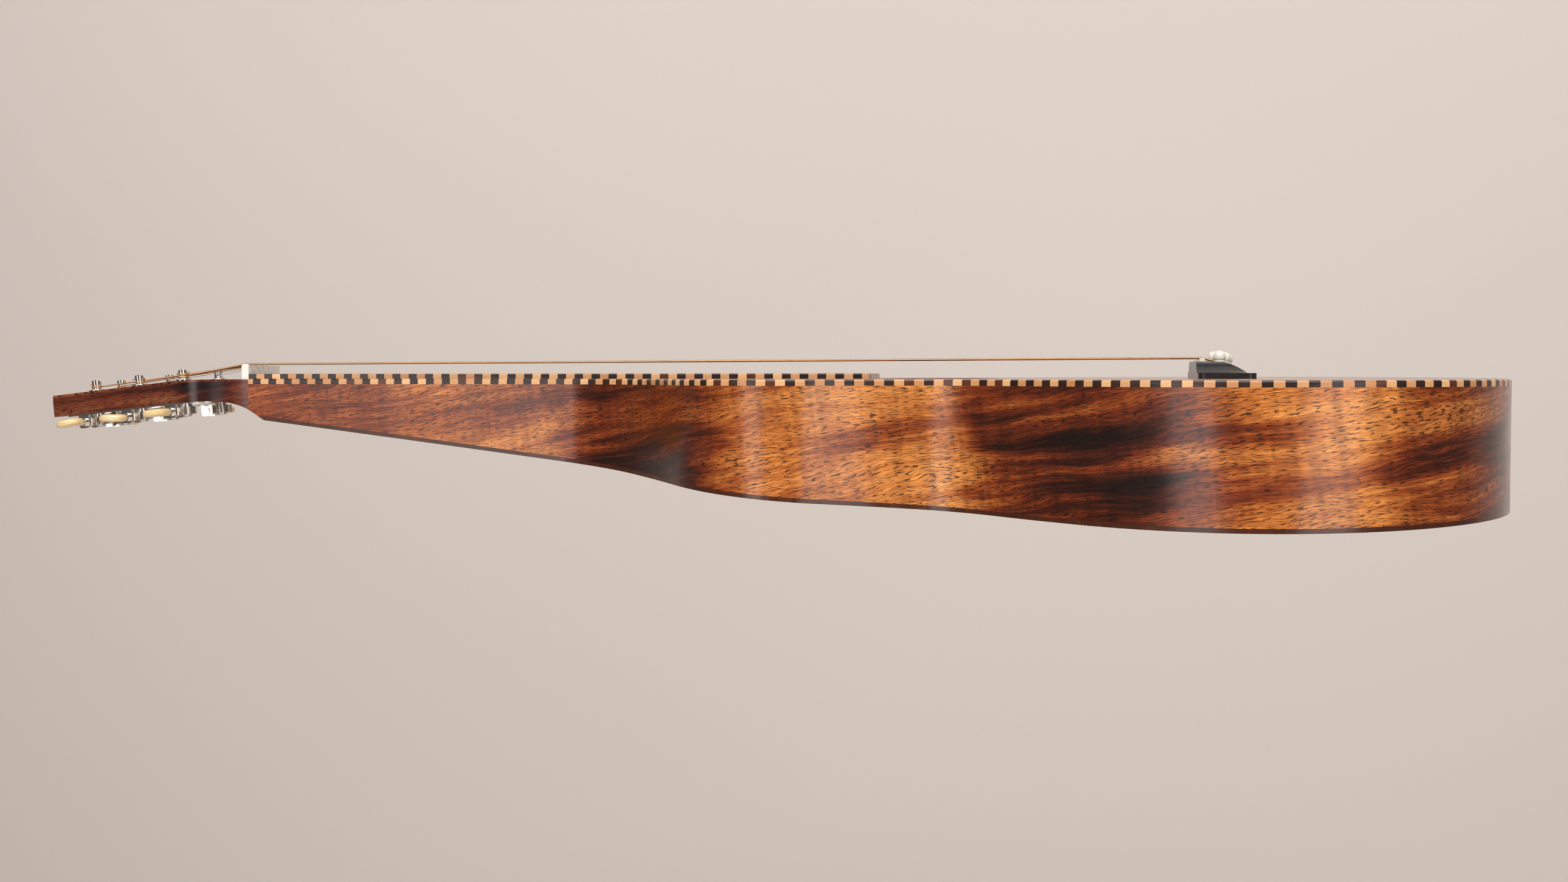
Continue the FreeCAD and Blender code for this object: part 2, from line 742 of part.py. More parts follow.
def tube(points, bend_radius, radius):
    """Round wire through points: straight runs joined by tangent arcs."""
    edges = []
    start = points[0]
    for index in range(1, len(points) - 1):
        before, corner, after = points[index - 1:index + 2]
        into, out = (corner - before).normalize(), (after - corner).normalize()
        turn = math.acos(max(-1.0, min(1.0, into.dot(out))))
        reach = bend_radius * math.tan(turn / 2)
        first, last = corner - into * reach, corner + out * reach
        to_centre = (out - into).normalize()
        centre = corner + to_centre * (bend_radius / math.cos(turn / 2))
        edges += [line(start, first), arc(first, centre - to_centre * bend_radius, last)]
        start = last
    edges.append(line(start, points[-1]))
    path = Part.Wire(edges)
    circle = Part.Circle(points[0], (points[1] - points[0]).normalize(), radius)
    wire = path.makePipeShell([Part.Wire(circle.toShape())], True, False)
    share = wire.Volume / (math.pi * radius ** 2 * path.Length)
    print("string tube %.2f mm: length %.1f, volume share %.4f" % (2 * radius, path.Length, share))
    return wire


def string_points(number):
    """Route of one string: winding, nut, saddle, pin hole and down to its ball end."""
    row, side = posts[number]
    radius = string_diameters[number] / 2
    y_nut = nut_spread * (number / 5.0 - 0.5)
    y_saddle = saddle_spread * (number / 5.0 - 0.5)
    pin = pin_centres()[number]
    reach = post_radius - post_waist + 2 * radius + clearance + radius
    coil_z = winding_z + radius * coil_first
    foot = on_head(Part.Vertex(V(0, -side * reach, coil_z + 1.2)), row, side).Point
    nut_back = V(-nut_length, y_nut, nut_string_z - 0.5)
    nut_front = V(0, y_nut, nut_string_z)
    saddle = V(saddle_front_x + saddle_thickness / 2, y_saddle, saddle_string_z)
    drop_x = pin.x - string_drop_offset
    hole = V(drop_x, pin.y, bridge_top_z(drop_x) + 0.2)
    ball = V(drop_x, pin.y, ball_z() + ball_radius * 0.6)
    return [foot, nut_back, nut_front, saddle, hole, ball]


def ball_z():
    return -top_thickness - bridge_plate_thickness - ball_radius - 0.1


def build_strings():
    strings, balls = [], []
    for number, diameter in enumerate(string_diameters):
        strings.append(tube(string_points(number), 1.4, diameter / 2))
        pin = pin_centres()[number]
        balls.append(Part.makeCylinder(ball_radius, ball_length,
                                       V(pin.x - string_drop_offset, pin.y - ball_length / 2, ball_z()),
                                       V(0, 1, 0)))
    pairs = [strings[n].fuse(balls[n]) for n in range(6)]
    save("wound_strings", *pairs[:wound_count])
    save("plain_strings", *pairs[wound_count:])
    return strings, balls


def build_nut(strings):
    half = nut_width / 2
    nut = box((-nut_length, 0), (-half, half), (head_face_z, nut_string_z - 0.1))
    rounded = [edge for edge in nut.Edges
               if edge.BoundBox.ZMin > nut_string_z - 0.2 and edge.BoundBox.YLength > 10
               or edge.BoundBox.ZMin > nut_string_z - 0.2 and edge.BoundBox.XLength > 1]
    nut = nut.makeFillet(1.2, rounded)
    save("nut", nut.cut(strings))


def bridge_profile():
    """Side view of the raised block: flat by the saddle, then rounded down to the slab."""
    front = bridge_front_x
    crest = front + 15.0
    rear = front + bridge_length - 4.0
    points = [V(front, 0, 0), V(front, 0, bridge_height), V(crest, 0, bridge_height - 0.2),
              V(rear, 0, bridge_slab - 0.4), V(rear, 0, 0)]
    sag = V((crest + rear) / 2, 0, (bridge_height + bridge_slab) / 2 + 0.9)
    edges = [line(points[0], points[1]), line(points[1], points[2]), arc(points[2], sag, points[3]),
             line(points[3], points[4]), line(points[4], points[0])]
    return Part.Face(Part.Wire(edges))


def bridge_top_z(x):
    probe = bridge_profile().common(Part.makeBox(0.02, 2, 60, V(x - 0.01, -1, -1)))
    return probe.BoundBox.ZMax


def build_bridge(strings, balls):
    slab_box = box((bridge_front_x, bridge_front_x + bridge_length),
                   (-bridge_half_width, bridge_half_width), (0, bridge_slab))
    corners = [edge for edge in slab_box.Edges if abs(edge.Length - bridge_slab) < 1e-6]
    slab_box = slab_box.makeFillet(5.0, corners)
    block = bridge_profile()
    block.translate(V(0, -bridge_block_half, 0))
    block = block.extrude(V(0, 2 * bridge_block_half, 0))
    scoops = [Part.makeCylinder(bridge_scoop_radius, 60,
                                V(bridge_front_x - 10, side * bridge_block_half,
                                  bridge_slab + bridge_scoop_radius), V(1, 0, 0))
              for side in (bass, treble)]
    bridge = slab_box.fuse(block.cut(scoops)).removeSplitter()
    saddle = box((saddle_front_x, saddle_front_x + saddle_thickness),
                 (-saddle_half_length, saddle_half_length),
                 (bridge_height - saddle_slot_depth, saddle_string_z))
    crown = [edge for edge in saddle.Edges
             if edge.BoundBox.ZMin > saddle_string_z - 0.01 and edge.BoundBox.YLength > 10]
    slot = saddle
    saddle = saddle.makeFillet(1.2, crown)
    pins = [make_pin(centre, ball) for centre, ball in zip(pin_centres(), balls)]
    holes = pin_holes(-1, 20)
    spots = [upright(pin_collar_radius + pin_seat_gap, pin_seat(c), 20, c.x, c.y) for c in pin_centres()]
    save("bridge", bridge.cut([slot] + holes + spots).cut(strings))
    save("saddle", saddle.cut(strings))
    save("bridge_pins", *[pin.cut(strings) for pin in pins])


def pin_seat(centre):
    """Height of the flat spot that a pin's collar sits on."""
    return bridge_top_z(centre.x)


def make_pin(centre, ball):
    """Bridge pin: domed head, collar ring and a fluted shank."""
    seat = pin_seat(centre)
    collar_top = seat + pin_collar_height
    shank = Part.makeCone(pin_shaft_radius - 0.5, pin_shaft_radius, pin_length, V(0, 0, seat - pin_length))
    collar = upright(pin_collar_radius, seat, collar_top)
    dome = Part.makeSphere(pin_head_radius, V(0, 0, collar_top + pin_collar_height)).common(
        box((-9, 9), (-9, 9), (collar_top, collar_top + 20)))
    flute = box((-4, -pin_shaft_radius + 1.3), (-pin_flute_half, pin_flute_half),
                (seat - pin_length - 1, seat + 0.4))
    pin = shank.fuse([collar, dome]).removeSplitter().cut(flute)
    pin.translate(V(centre.x, centre.y, 0))
    return pin.cut(ball)


def main():
    os.makedirs("parts", exist_ok=True)
    cavity = build_body()
    build_braces(cavity)
    build_fretboard()
    build_head()
    build_tuners()
    strings, balls = build_strings()
    build_nut(strings)
    build_bridge(strings, balls)


main()
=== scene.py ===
import json
import math
import random

import bmesh
import bpy
import numpy as np
from mathutils import Matrix, Vector


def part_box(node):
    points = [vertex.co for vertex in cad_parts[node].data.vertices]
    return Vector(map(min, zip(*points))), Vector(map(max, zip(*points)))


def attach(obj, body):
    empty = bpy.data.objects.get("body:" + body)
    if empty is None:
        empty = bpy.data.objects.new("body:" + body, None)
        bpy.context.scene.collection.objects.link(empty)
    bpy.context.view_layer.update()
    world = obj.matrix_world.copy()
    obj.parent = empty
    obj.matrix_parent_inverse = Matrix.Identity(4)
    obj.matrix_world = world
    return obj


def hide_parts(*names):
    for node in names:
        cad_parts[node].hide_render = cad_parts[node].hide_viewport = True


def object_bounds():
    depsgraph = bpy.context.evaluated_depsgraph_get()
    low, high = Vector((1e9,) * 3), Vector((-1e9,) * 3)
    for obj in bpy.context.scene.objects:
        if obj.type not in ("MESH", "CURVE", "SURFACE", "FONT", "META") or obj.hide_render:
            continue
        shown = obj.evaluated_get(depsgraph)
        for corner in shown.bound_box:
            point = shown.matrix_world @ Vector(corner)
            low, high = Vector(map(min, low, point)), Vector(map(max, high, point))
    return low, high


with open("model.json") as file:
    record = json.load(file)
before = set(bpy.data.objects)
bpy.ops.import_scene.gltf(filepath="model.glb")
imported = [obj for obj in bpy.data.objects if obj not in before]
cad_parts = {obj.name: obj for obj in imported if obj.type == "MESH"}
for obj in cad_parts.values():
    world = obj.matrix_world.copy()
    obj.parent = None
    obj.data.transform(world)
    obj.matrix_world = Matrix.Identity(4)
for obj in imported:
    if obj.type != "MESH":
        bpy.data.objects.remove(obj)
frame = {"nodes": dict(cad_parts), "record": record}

cad_low, cad_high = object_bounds()
nodes = frame["nodes"]
scene = bpy.context.scene
random.seed(7)

MM = 0.001
NUT_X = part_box("nut")[1].x                  # tail side of the nut: where the string length starts
TOP_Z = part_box("soundboard")[1].z           # the soundboard's surface
TAIL_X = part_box("body_binding")[1].x        # the body's far end
SIDE_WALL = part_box("bass_side")[1].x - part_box("soundboard")[1].x        # thickness of the sides
BASS, TREBLE = -1, 1

BLOCK = 5.8 * MM                            # length of one block of the rope binding
BLOCK_STEPS = 4                             # sections in one block, so that it follows a bend
ROPE_EDGE = 1.1 * MM                        # rounding of the body binding's outer edge
BOARD_ROPE_EDGE = 0.6 * MM
ROSETTE_EDGE = 0.05 * MM
BOARD_CORNER = 3.4 * MM                     # corners of the fretboard's soundhole end

COIL_PITCH = 1.9                            # from coil to coil, in wire radii
COIL_STEPS = 40                             # points in one turn
RISE_STEPS = 24                             # points from the last coil to the cross hole
SHORTEST_RISE = 0.9                         # a rise over less than this angle goes half a turn further
CROSS_HOLE_DROP = 2.6 * MM                  # from the post's top down to its cross hole
CUT_END = 1.6 * MM                          # how far the cut end stands out past the coils
CUT_LIFT = 0.3 * MM

BUTTON_NECK = 1.2 * MM                      # from the shaft's ferrule to the oval of a button
NECK_SIDES = 24
OVAL_POWER = 2.35                           # 2 gives an ellipse, and more gives blunter ends
DISH_DEPTH, DISH_REACH = 0.30, 0.50         # shares of the button's half thickness and half width


# ---------------------------------------------------------------- camera, stage, light

def make_camera():
    """Level with the soundboard, in front of the bass side."""
    data = bpy.data.cameras.new("camera")
    data.sensor_width = 36.0
    data.lens = 40.76
    data.clip_start = 0.01
    camera = bpy.data.objects.new("camera", data)
    scene.collection.objects.link(camera)
    camera.location = (NUT_X + 0.5765, -1.1537, TOP_Z + 0.00574)
    yaw, pitch, roll = 0.17899, 0.04012, -0.00129
    camera.rotation_euler = (math.pi / 2 - pitch, 0, yaw)
    camera.rotation_euler = (camera.rotation_euler.to_matrix()
                             @ Matrix.Rotation(roll, 3, "Z")).to_euler()
    scene.camera = camera


def plane(name, corners, material):
    """One flat rectangle of the stage, which is not a part of the object."""
    mesh = bpy.data.meshes.new(name)
    mesh.from_pydata(corners, [], [(0, 1, 2, 3)])
    item = bpy.data.objects.new(name, mesh)
    scene.collection.objects.link(item)
    mesh.materials.append(material)


def area_light(name, place, aim, size, power, colour):
    """A soft box at place that shines towards aim."""
    data = bpy.data.lights.new(name, "AREA")
    data.shape = "RECTANGLE"
    data.size, data.size_y = size
    data.energy = power
    data.color = colour
    lamp = bpy.data.objects.new(name, data)
    scene.collection.objects.link(lamp)
    lamp.location = place
    lamp.rotation_euler = (Vector(aim) - Vector(place)).to_track_quat("-Z", "Z").to_euler()


def make_stage():
    """Pale paper well behind the treble side, a pale floor below, and soft studio light."""
    paper_y = cad_high.y + 0.9
    wide, tall = 6.0, 4.0
    plane("paper_backdrop", [(-wide, paper_y, -tall), (wide, paper_y, -tall),
                             (wide, paper_y, tall), (-wide, paper_y, tall)], paper_material(True))
    floor_z = -1.2
    plane("floor", [(-wide, -wide, floor_z), (wide, -wide, floor_z),
                    (wide, wide, floor_z), (-wide, wide, floor_z)], paper_material(False))
    middle = Vector((0.05, 0, 0.05))
    lamp_colour = (1.0, 0.985, 0.97)
    wash_aim = Vector((0.0, paper_y, -0.25))
    lamps = [
        ("front_box", middle, (-1.30, -2.20, 0.1), (0.62, 2.4), 10),
        ("right_box", middle, (1.55, -2.10, 0.2), (0.9, 2.4), 13),
        ("top_box", middle, (0.15, -1.75, 2.1), (3.2, 1.5), 95),
        ("low_box", middle, (0.1, -1.7, -1.0), (3.0, 0.7), 7),
        ("paper_wash", wash_aim, (0.0, -0.75, 2.1), (4.5, 0.6), 8),
        ("paper_fill", wash_aim, (0.0, -0.55, -1.3), (4.5, 0.4), 13),
    ]
    for name, aim, offset, size, power in lamps:
        area_light(name, aim + Vector(offset), aim, size, power, lamp_colour)
    world = bpy.data.worlds.new("world")
    world.use_nodes = True
    background = world.node_tree.nodes["Background"]
    background.inputs["Color"].default_value = (0.86, 0.80, 0.75, 1)
    background.inputs["Strength"].default_value = 0.14
    scene.world = world
    scene.view_settings.view_transform = "Standard"


# ---------------------------------------------------------------- material helpers

class Shader:
    """A node material with short calls for the nodes it needs."""

    def __init__(self, name):
        self.material = bpy.data.materials.new(name)
        self.material.use_nodes = True
        self.tree = self.material.node_tree
        self.tree.nodes.clear()
        self.out = self.tree.nodes.new("ShaderNodeOutputMaterial")
        self.surface = self.tree.nodes.new("ShaderNodeBsdfPrincipled")
        self.tree.links.new(self.surface.outputs[0], self.out.inputs["Surface"])

    def node(self, kind, inputs=None, **settings):
        made = self.tree.nodes.new("ShaderNode" + kind)
        for key, value in settings.items():
            setattr(made, key, value)
        for key, value in (inputs or {}).items():
            self.put(made.inputs[key], value)
        return made

    def put(self, socket, value):
        if hasattr(value, "outputs"):
            value = value.outputs[0]
        if isinstance(value, bpy.types.NodeSocket):
            self.tree.links.new(value, socket)
        else:
            socket.default_value = value

    def set(self, **values):
        for key, value in values.items():
            self.put(self.surface.inputs[key.replace("_", " ")], value)

    def math(self, operation, first, second=0.0, clamp=False):
        made = self.node("Math", {0: first, 1: second}, operation=operation, use_clamp=clamp)
        return made.outputs[0]

    def vector_math(self, operation, first, second=(0, 0, 0)):
        return self.node("VectorMath", {0: first, 1: second}, operation=operation).outputs[0]

    def object_point(self):
        return self.node("TexCoord").outputs["Object"]

    def uv_point(self):
        return self.node("UVMap", uv_map="UVMap").outputs[0]

    def noise(self, point, scale, detail=3.0, roughness=0.5, distortion=0.0):
        """Noise whose features are as many per metre as scale says, along each axis."""
        stretched = self.vector_math("MULTIPLY", point, scale)
        made = self.node("TexNoise", {"Vector": stretched, "Scale": 1.0, "Detail": detail,
                                      "Roughness": roughness, "Distortion": distortion})
        return made.outputs["Fac"]

    def ramp(self, value, stops, smooth=False):
        made = self.node("ValToRGB", {"Fac": value})
        made.color_ramp.interpolation = "EASE" if smooth else "LINEAR"
        elements = made.color_ramp.elements
        while len(elements) < len(stops):
            elements.new(0.5)
        for element, (position, colour) in zip(elements, stops):
            element.position = position
            element.color = (*colour, 1) if len(colour) == 3 else colour
        return made.outputs["Color"]

    def fade(self, value, low, high, out_low=0.0, out_high=1.0):
        made = self.node("MapRange", {"Value": value, "From Min": low, "From Max": high,
                                      "To Min": out_low, "To Max": out_high})
        made.interpolation_type = "SMOOTHSTEP"
        return made.outputs[0]

    def mix(self, factor, first, second, blend="MIX"):
        made = self.node("Mix", data_type="RGBA", blend_type=blend)
        self.put(made.inputs[0], factor)
        self.put(made.inputs[6], first)
        self.put(made.inputs[7], second)
        return made.outputs[2]

    def bump(self, height, distance, strength=1.0):
        made = self.node("Bump", {"Height": height, "Distance": distance, "Strength": strength})
        self.tree.links.new(made.outputs[0], self.surface.inputs["Normal"])


def paper_material(one_sided):
    """Pale matt paper; a one-sided sheet can't be seen from its back."""
    shader = Shader("paper" if one_sided else "floor")
    point = shader.object_point()
    fibre = shader.noise(point, (90, 90, 90), 4, 0.6)
    cloud = shader.noise(point, (1.1, 1.1, 1.1), 2)
    tone = shader.math("ADD", shader.math("MULTIPLY", fibre, 0.03), shader.math("MULTIPLY", cloud, 0.06))
    shader.set(Base_Color=shader.ramp(tone, [(0.0, (0.66, 0.60, 0.56)), (0.12, (0.69, 0.63, 0.59))]),
               Roughness=0.9, Specular_IOR_Level=0.15)
    shader.bump(fibre, 0.0002, 0.3)
    if one_sided:
        clear = shader.node("BsdfTransparent")
        facing = shader.node("NewGeometry").outputs["Backfacing"]
        both = shader.node("MixShader")
        shader.put(both.inputs[0], facing)
        shader.put(both.inputs[1], shader.surface)
        shader.put(both.inputs[2], clear)
        shader.tree.links.new(both.outputs[0], shader.out.inputs["Surface"])
    return shader.material


# ---------------------------------------------------------------- woods

def koa(name, source="object", across="z", folded=False, slope=8.0, depth=1.0, red=0.0, gloss=0.2,
        zones=None, patches=(), dark_edge=False):
    """Lacquered figured koa: warped grain, dark streaks, curl across the grain and open pores.

    zones pairs a share of the length from nut to tail with a shift in tone; on the sides this shift is
    partly the wood's own tone and partly painted highlight and shade. Each patch is a place past the nut and
    above the soundboard, a half length and a half height in metres, and a shift in tone.
    dark_edge paints shade on the upright edge of a plate.
    """
    shader = Shader(name)
    own = shader.object_point()
    point = shader.uv_point() if source == "uv" else own
    split = shader.node("SeparateXYZ", {0: point})
    along = split.outputs[0]
    side = split.outputs[1 if source == "uv" or across == "y" else 2]
    if folded:
        side = shader.math("ABSOLUTE", side)
    flat = shader.node("CombineXYZ", {0: along, 1: side, 2: 0.01})
    turned = shader.node("VectorRotate", {"Vector": flat, "Angle": math.radians(-slope)},
                         rotation_type="Z_AXIS")
    warp = shader.noise(flat, (5.5, 20.0, 1.0), 3, 0.55)
    lift = shader.math("MULTIPLY", shader.math("SUBTRACT", warp, 0.5), 0.026)
    grain = shader.vector_math("ADD", turned, shader.node("CombineXYZ", {0: 0.0, 1: lift, 2: 0.0}))

    figure = shader.noise(grain, (5.0, 46.0, 1.0), 5, 0.6, 0.15)
    streak = shader.noise(grain, (9.0, 260.0, 1.0), 5, 0.7)
    fine = shader.noise(grain, (70.0, 1500.0, 1.0), 4, 0.65)
    curl = shader.noise(grain, (110.0, 8.0, 1.0), 2, 0.5, 0.6)
    tone = shader.math("ADD", shader.math("MULTIPLY", figure, 0.66), shader.math("MULTIPLY", streak, 0.34))
    place = shader.node("SeparateXYZ", {0: own})
    # zones shift the tone along the length; on the sides they carry painted highlight and shade as well as
    # wood tone
    if zones:
        ragged = shader.math("MULTIPLY", shader.math("SUBTRACT", warp, 0.5), 0.10)
        station = shader.node("MapRange", {"Value": shader.math("ADD", place.outputs[0], ragged),
                                           "From Min": NUT_X, "From Max": TAIL_X})
        shift = shader.ramp(station, [(at, (0.5 + value,) * 3) for at, value in zones], True)
        tone = shader.math("ADD", tone, shader.math("SUBTRACT", shift, 0.5))
    for at_x, at_z, half_x, half_z, value in patches:
        drift = shader.math("MULTIPLY", shader.math("SUBTRACT", figure, 0.5), 2.4)
        far_x = shader.math("DIVIDE", shader.math("SUBTRACT", place.outputs[0], NUT_X + at_x), half_x)
        lean = shader.math("MULTIPLY", shader.math("SUBTRACT", place.outputs[0], NUT_X + at_x), 0.10)
        height = shader.math("SUBTRACT", place.outputs[2], TOP_Z + at_z)
        far_z = shader.math("DIVIDE", shader.math("SUBTRACT", height, lean), half_z)
        far = shader.math("ADD", shader.math("POWER", far_x, 2.0), shader.math("POWER", far_z, 2.0))
        near = shader.fade(shader.math("ADD", far, drift), 0.0, 1.5, value, 0.0)
        tone = shader.math("ADD", tone, near)
    colour = shader.ramp(tone, [
        (0.31, (0.012 * depth, 0.0035 * depth, 0.0018)),
        (0.39, (0.070 * depth, 0.0120 * depth, 0.0035)),
        (0.455, (0.190 * depth, (0.032 - 0.006 * red) * depth, 0.0070)),
        (0.52, (0.350 * depth, (0.086 - 0.020 * red) * depth, 0.0165)),
        (0.585, (0.540 * depth, (0.180 - 0.040 * red) * depth, 0.040)),
        (0.67, (0.700 * depth, (0.280 - 0.060 * red) * depth, 0.075)),
    ])
    thread_tint = shader.ramp(fine, [(0.34, (0.50, 0.42, 0.36)), (0.66, (1.24, 1.22, 1.15))])
    curl_tint = shader.ramp(curl, [(0.34, (0.84, 0.80, 0.74)), (0.62, (1.14, 1.15, 1.10))])
    colour = shader.mix(1.0, colour, thread_tint, "MULTIPLY")
    colour = shader.mix(1.0, colour, curl_tint, "MULTIPLY")
    pore_field = shader.noise(grain, (200.0, 1600.0, 1.0), 1.0, 0.4, 0.1)
    density = shader.noise(grain, (14.0, 45.0, 1.0), 2)
    crowding = shader.math("MULTIPLY", shader.math("SUBTRACT", density, 0.4), 0.20)
    edge = shader.math("SUBTRACT", 0.585, crowding)
    pore = shader.math("MULTIPLY", shader.math("SUBTRACT", pore_field, edge), 16.0, clamp=True)
    colour = shader.mix(shader.math("MULTIPLY", pore, 0.82), colour, (0.016, 0.0055, 0.003, 1))
    if dark_edge:
        # painted shade: the plate's upright edge, where the normal lies near level, is darkened
        upright = shader.node("SeparateXYZ", {0: shader.node("TexCoord").outputs["Normal"]}).outputs[2]
        rim = shader.fade(shader.math("ABSOLUTE", upright), 0.30, 0.60, 0.9, 0.0)
        colour = shader.mix(rim, colour, (0.045, 0.012, 0.005, 1))
    wear = shader.noise(own, (30, 30, 30), 4, 0.6)
    shader.set(Base_Color=colour, Roughness=shader.fade(wear, 0.3, 0.7, 0.36, 0.46), Coat_Weight=1.0,
               Coat_Roughness=shader.fade(wear, 0.3, 0.7, gloss * 0.85, gloss * 1.15), Coat_IOR=1.5,
               Specular_IOR_Level=0.1)
    shader.bump(shader.math("SUBTRACT", 1.0, pore), 0.00005, 0.5)
    return shader.material


def plain_wood(name, dark, light, stretch=(10.0, 300.0, 300.0), roughness=0.55, coat=0.0, pores=0.0):
    """Straight-grained wood, seen in the object's own axes with the grain along X."""
    shader = Shader(name)
    point = shader.object_point()
    bend = shader.noise(point, (6, 12, 12), 2)
    moved = shader.vector_math("ADD", point, shader.node("CombineXYZ", {
        0: 0.0, 1: shader.math("MULTIPLY", bend, 0.004), 2: shader.math("MULTIPLY", bend, 0.003)}))
    band = shader.noise(moved, stretch, 5, 0.6)
    fine = shader.noise(moved, tuple(4 * s for s in stretch), 3, 0.6)
    tone = shader.math("ADD", shader.math("MULTIPLY", band, 0.7), shader.math("MULTIPLY", fine, 0.3))
    colour = shader.ramp(tone, [(0.32, dark), (0.68, light)])
    if pores:
        spot = shader.noise(moved, (260, 2400, 2400), 1.0)
        hole = shader.math("MULTIPLY", shader.math("SUBTRACT", spot, 0.66), 20.0, clamp=True)
        filled = tuple(c * 0.25 for c in dark) + (1,)
        colour = shader.mix(shader.math("MULTIPLY", hole, pores), colour, filled)
    shader.set(Base_Color=colour, Roughness=shader.fade(fine, 0.3, 0.7, roughness * 0.85, roughness * 1.15),
               Coat_Weight=coat, Coat_Roughness=0.2)
    shader.bump(tone, 0.00008, 0.4)
    return shader.material


def rope_block(name, dark, light, reds=None):
    """End-banded marquetry wood: each block has its own tone from the mesh's colour layer."""
    shader = Shader(name)
    point = shader.object_point()
    tone = shader.node("VertexColor", layer_name="tone").outputs[0]
    own = shader.node("SeparateColor", {0: tone}).outputs[0]
    grain = shader.noise(point, (900, 900, 2600), 4, 0.6)
    pore = shader.noise(point, (2200, 2200, 5200), 2, 0.5)
    value = shader.math("ADD", shader.math("MULTIPLY", own, 0.72), shader.math("MULTIPLY", grain, 0.28))
    colour = shader.ramp(value, [(0.12, dark), (0.85, light)])
    if reds:
        pick = shader.fade(own, 0.78, 0.86)
        colour = shader.mix(pick, colour, shader.ramp(grain, [(0.3, reds[0]), (0.7, reds[1])]))
    speck = shader.math("MULTIPLY", shader.math("SUBTRACT", pore, 0.62), 8.0, clamp=True)
    colour = shader.mix(shader.math("MULTIPLY", speck, 0.35), colour, tuple(c * 0.4 for c in dark) + (1,))
    shader.set(Base_Color=colour, Roughness=0.36, Coat_Weight=0.5, Coat_Roughness=0.18,
               Specular_IOR_Level=0.3)
    shader.bump(grain, 0.00003, 0.4)
    return shader.material


# ---------------------------------------------------------------- metals, bone, plastic

def metal(name, colour, roughness, streaks=0.3, scratch=(260, 260, 2600)):
    """Polished or satin metal with faint directional scratches and handling haze."""
    shader = Shader(name)
    point = shader.object_point()
    haze = shader.noise(point, (140, 140, 140), 4, 0.6)
    lines = shader.noise(point, scratch, 3, 0.6)
    shader.set(Base_Color=shader.ramp(haze, [(0.25, tuple(c * 0.86 for c in colour)), (0.75, colour)]),
               Metallic=1.0,
               Roughness=shader.math("ADD", shader.fade(haze, 0.3, 0.75, roughness * 0.7, roughness * 1.5),
                                     shader.math("MULTIPLY", lines, roughness * streaks)))
    shader.bump(lines, 0.000012, 0.35)
    return shader.material


def wound_wire(name, colour, turns_per_metre, turning=False):
    """Bronze wrap: a fine screw of ridges along the string, with painted shade darkening the grooves between
    them.
    """
    shader = Shader(name)
    point = shader.uv_point() if turning else shader.object_point()
    along = shader.node("SeparateXYZ", {0: point}).outputs[0]
    phase = shader.math("MULTIPLY", along, turns_per_metre * 2 * math.pi)
    ridge = shader.math("ABSOLUTE", shader.math("SINE", shader.math("MULTIPLY", phase, 0.5)))
    haze = shader.noise(point, (9, 300, 300), 2)
    base = shader.ramp(haze, [(0.3, tuple(c * 0.88 for c in colour)), (0.7, colour)])
    # painted shade: the grooves between the wraps are darkened
    base = shader.mix(shader.fade(ridge, 0.0, 0.45, 0.65, 0.0), base, tuple(c * 0.22 for c in colour) + (1,))
    shader.set(Base_Color=base, Metallic=1.0, Roughness=shader.fade(haze, 0.3, 0.7, 0.24, 0.36))
    shader.bump(ridge, 0.00008, 0.8)
    return shader.material


def bone(name, colour, streak_scale=(300, 60, 900), glow=0.06):
    """Polished bone: faint fibres, tiny dark flecks and a little depth."""
    shader = Shader(name)
    point = shader.object_point()
    fibre = shader.noise(point, streak_scale, 4, 0.6)
    fleck = shader.noise(point, (1500, 700, 4000), 2)
    dot = shader.math("MULTIPLY", shader.math("SUBTRACT", fleck, 0.70), 9.0, clamp=True)
    base = shader.ramp(fibre, [(0.3, tuple(c * 0.86 for c in colour)), (0.7, colour)])
    base = shader.mix(shader.math("MULTIPLY", dot, 0.3), base, tuple(c * 0.45 for c in colour) + (1,))
    shader.set(Base_Color=base, Roughness=0.26, Subsurface_Weight=glow,
               Subsurface_Radius=(0.004, 0.003, 0.002), Subsurface_Scale=0.4, Coat_Weight=0.3,
               Coat_Roughness=0.12)
    shader.bump(fibre, 0.00002, 0.4)
    return shader.material


def celluloid(name):
    """Grained cream celluloid: parallel ivory and straw bands through the button."""
    shader = Shader(name)
    point = shader.object_point()
    bend = shader.noise(point, (70, 70, 70), 2)
    moved = shader.vector_math("ADD", point, shader.node("CombineXYZ", {
        0: 0.0, 1: 0.0, 2: shader.math("MULTIPLY", bend, 0.004)}))
    band = shader.noise(moved, (40, 40, 950), 3, 0.5)
    cloud = shader.noise(point, (55, 55, 55), 2)
    value = shader.math("ADD", shader.math("MULTIPLY", band, 0.6), shader.math("MULTIPLY", cloud, 0.4))
    shader.set(Base_Color=shader.ramp(value, [(0.30, (0.62, 0.36, 0.12)), (0.46, (0.80, 0.56, 0.26)),
                                              (0.66, (0.90, 0.74, 0.46))]),
               Roughness=0.24, Subsurface_Weight=0.12, Subsurface_Radius=(0.004, 0.0025, 0.001),
               Subsurface_Scale=0.5, Coat_Weight=0.4, Coat_Roughness=0.1)
    shader.bump(band, 0.00003, 0.25)
    return shader.material


def pearl(name):
    """Mother of pearl: soft swirls of cool and warm white."""
    shader = Shader(name)
    point = shader.object_point()
    swirl = shader.noise(point, (160, 160, 60), 4, 0.55, 1.2)
    shader.set(Base_Color=shader.ramp(swirl, [(0.3, (0.62, 0.66, 0.66)), (0.45, (0.86, 0.80, 0.78)),
                                              (0.6, (0.80, 0.88, 0.84)), (0.75, (0.92, 0.90, 0.84))]),
               Roughness=0.2, Coat_Weight=0.6, Coat_Roughness=0.08, Specular_IOR_Level=0.8)
    shader.bump(swirl, 0.00002, 0.3)
    return shader.material


# ---------------------------------------------------------------- outline read from the CAD body

